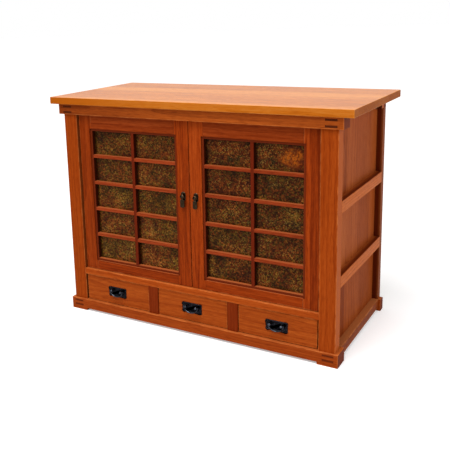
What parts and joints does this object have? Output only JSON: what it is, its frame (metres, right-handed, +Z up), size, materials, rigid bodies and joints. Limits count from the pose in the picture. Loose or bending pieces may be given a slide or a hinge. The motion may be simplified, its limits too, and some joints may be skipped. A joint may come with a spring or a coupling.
{
  "type": "tansu cabinet",
  "caption": "Low post and beam tansu cabinet with glazed lattice doors over a row of drawers with bail pulls.",
  "frame": {"origin": "on the floor, under the middle of the top board", "axes": "+Z up, +X to the right of someone facing the doors, doors face -Y"},
  "size_m": [1.22, 0.575, 0.885],
  "materials": {
    "frame_wood": "stained satin lacquer",
    "top_wood": "stained satin lacquer",
    "panel_wood": "stained satin lacquer",
    "door_wood": "stained satin lacquer",
    "drawer_wood": "stained satin lacquer",
    "inner_wood": "clear lacquer",
    "plywood": "clear lacquer",
    "mottled_glass": "mottled amber art glass",
    "black_iron": "black waxed iron",
    "brass": "turned"
  },
  "bodies": {
    "carcass": {"top_board": "top_wood", "front_fascia": "frame_wood", "rear_top_rail": "frame_wood", "left_top_side_rail": "frame_wood", "right_top_side_rail": "frame_wood", "left_front_post": "frame_wood", "right_front_post": "frame_wood", "left_rear_post": "frame_wood", "right_rear_post": "frame_wood", "left_mid_rails": "frame_wood", "right_mid_rails": "frame_wood", "left_side_panels": "panel_wood", "right_side_panels": "panel_wood", "front_base_beam": "frame_wood", "rear_base_beam": "frame_wood", "left_base_rail": "frame_wood", "right_base_rail": "frame_wood", "back_panel": "plywood", "bottom_board": "plywood", "cabinet_floor": "inner_wood", "shelf": "inner_wood", "shelf_pins": "brass", "drawer_rail": "frame_wood", "drawer_dividers": "frame_wood", "drawer_partitions": "inner_wood", "drawer_runners": "inner_wood", "pivot_bushes": "brass", "door_ball_catches": "brass"},
    "left_door": {"left_door_hinge_stile": "door_wood", "left_door_meeting_stile": "door_wood", "left_door_top_rail": "door_wood", "left_door_bottom_rail": "door_wood", "left_door_lattice": "door_wood", "left_door_glass": "mottled_glass", "left_door_glazing_beads": "door_wood", "left_door_pivot_pins": "brass", "left_door_pull_boss": "black_iron"},
    "left_door_pull": {"left_door_pull_drop": "black_iron"},
    "right_door": {"right_door_hinge_stile": "door_wood", "right_door_meeting_stile": "door_wood", "right_door_top_rail": "door_wood", "right_door_bottom_rail": "door_wood", "right_door_lattice": "door_wood", "right_door_glass": "mottled_glass", "right_door_glazing_beads": "door_wood", "right_door_pivot_pins": "brass", "right_door_pull_boss": "black_iron"},
    "right_door_pull": {"right_door_pull_drop": "black_iron"},
    "left_drawer": {"left_drawer_front": "drawer_wood", "left_drawer_box": "inner_wood", "left_drawer_pull_plate": "black_iron"},
    "left_drawer_bail": {"left_drawer_bail": "black_iron"},
    "centre_drawer": {"centre_drawer_front": "drawer_wood", "centre_drawer_box": "inner_wood", "centre_drawer_pull_plate": "black_iron"},
    "centre_drawer_bail": {"centre_drawer_bail": "black_iron"},
    "right_drawer": {"right_drawer_front": "drawer_wood", "right_drawer_box": "inner_wood", "right_drawer_pull_plate": "black_iron"},
    "right_drawer_bail": {"right_drawer_bail": "black_iron"}
  },
  "joints": [
    {"name": "left_door_swing", "type": "hinge", "parent": "carcass", "child": "left_door", "pos_m": [-0.4855, -0.2525, 0.183], "axis": [0, 0, -1], "range_deg": [0, 100]},
    {"name": "left_door_pull_lift", "type": "hinge", "parent": "left_door", "child": "left_door_pull", "pos_m": [-0.0265, -0.2675, 0.534], "axis": [-1, 0, 0], "range_deg": [0, 80]},
    {"name": "right_door_swing", "type": "hinge", "parent": "carcass", "child": "right_door", "pos_m": [0.4855, -0.2525, 0.183], "axis": [0, 0, 1], "range_deg": [0, 100]},
    {"name": "right_door_pull_lift", "type": "hinge", "parent": "right_door", "child": "right_door_pull", "pos_m": [0.0265, -0.2675, 0.534], "axis": [-1, 0, 0], "range_deg": [0, 80]},
    {"name": "left_drawer_slide", "type": "slide", "parent": "carcass", "child": "left_drawer", "axis": [0, -1, 0], "range_m": [0, 0.32]},
    {"name": "left_drawer_bail_lift", "type": "hinge", "parent": "left_drawer", "child": "left_drawer_bail", "pos_m": [-0.343, -0.276, 0.11], "axis": [-1, 0, 0], "range_deg": [0, 95]},
    {"name": "centre_drawer_slide", "type": "slide", "parent": "carcass", "child": "centre_drawer", "axis": [0, -1, 0], "range_m": [0, 0.32]},
    {"name": "centre_drawer_bail_lift", "type": "hinge", "parent": "centre_drawer", "child": "centre_drawer_bail", "pos_m": [0, -0.276, 0.11], "axis": [-1, 0, 0], "range_deg": [0, 95]},
    {"name": "right_drawer_slide", "type": "slide", "parent": "carcass", "child": "right_drawer", "axis": [0, -1, 0], "range_m": [0, 0.32]},
    {"name": "right_drawer_bail_lift", "type": "hinge", "parent": "right_drawer", "child": "right_drawer_bail", "pos_m": [0.343, -0.276, 0.11], "axis": [-1, 0, 0], "range_deg": [0, 95]}
  ]
}
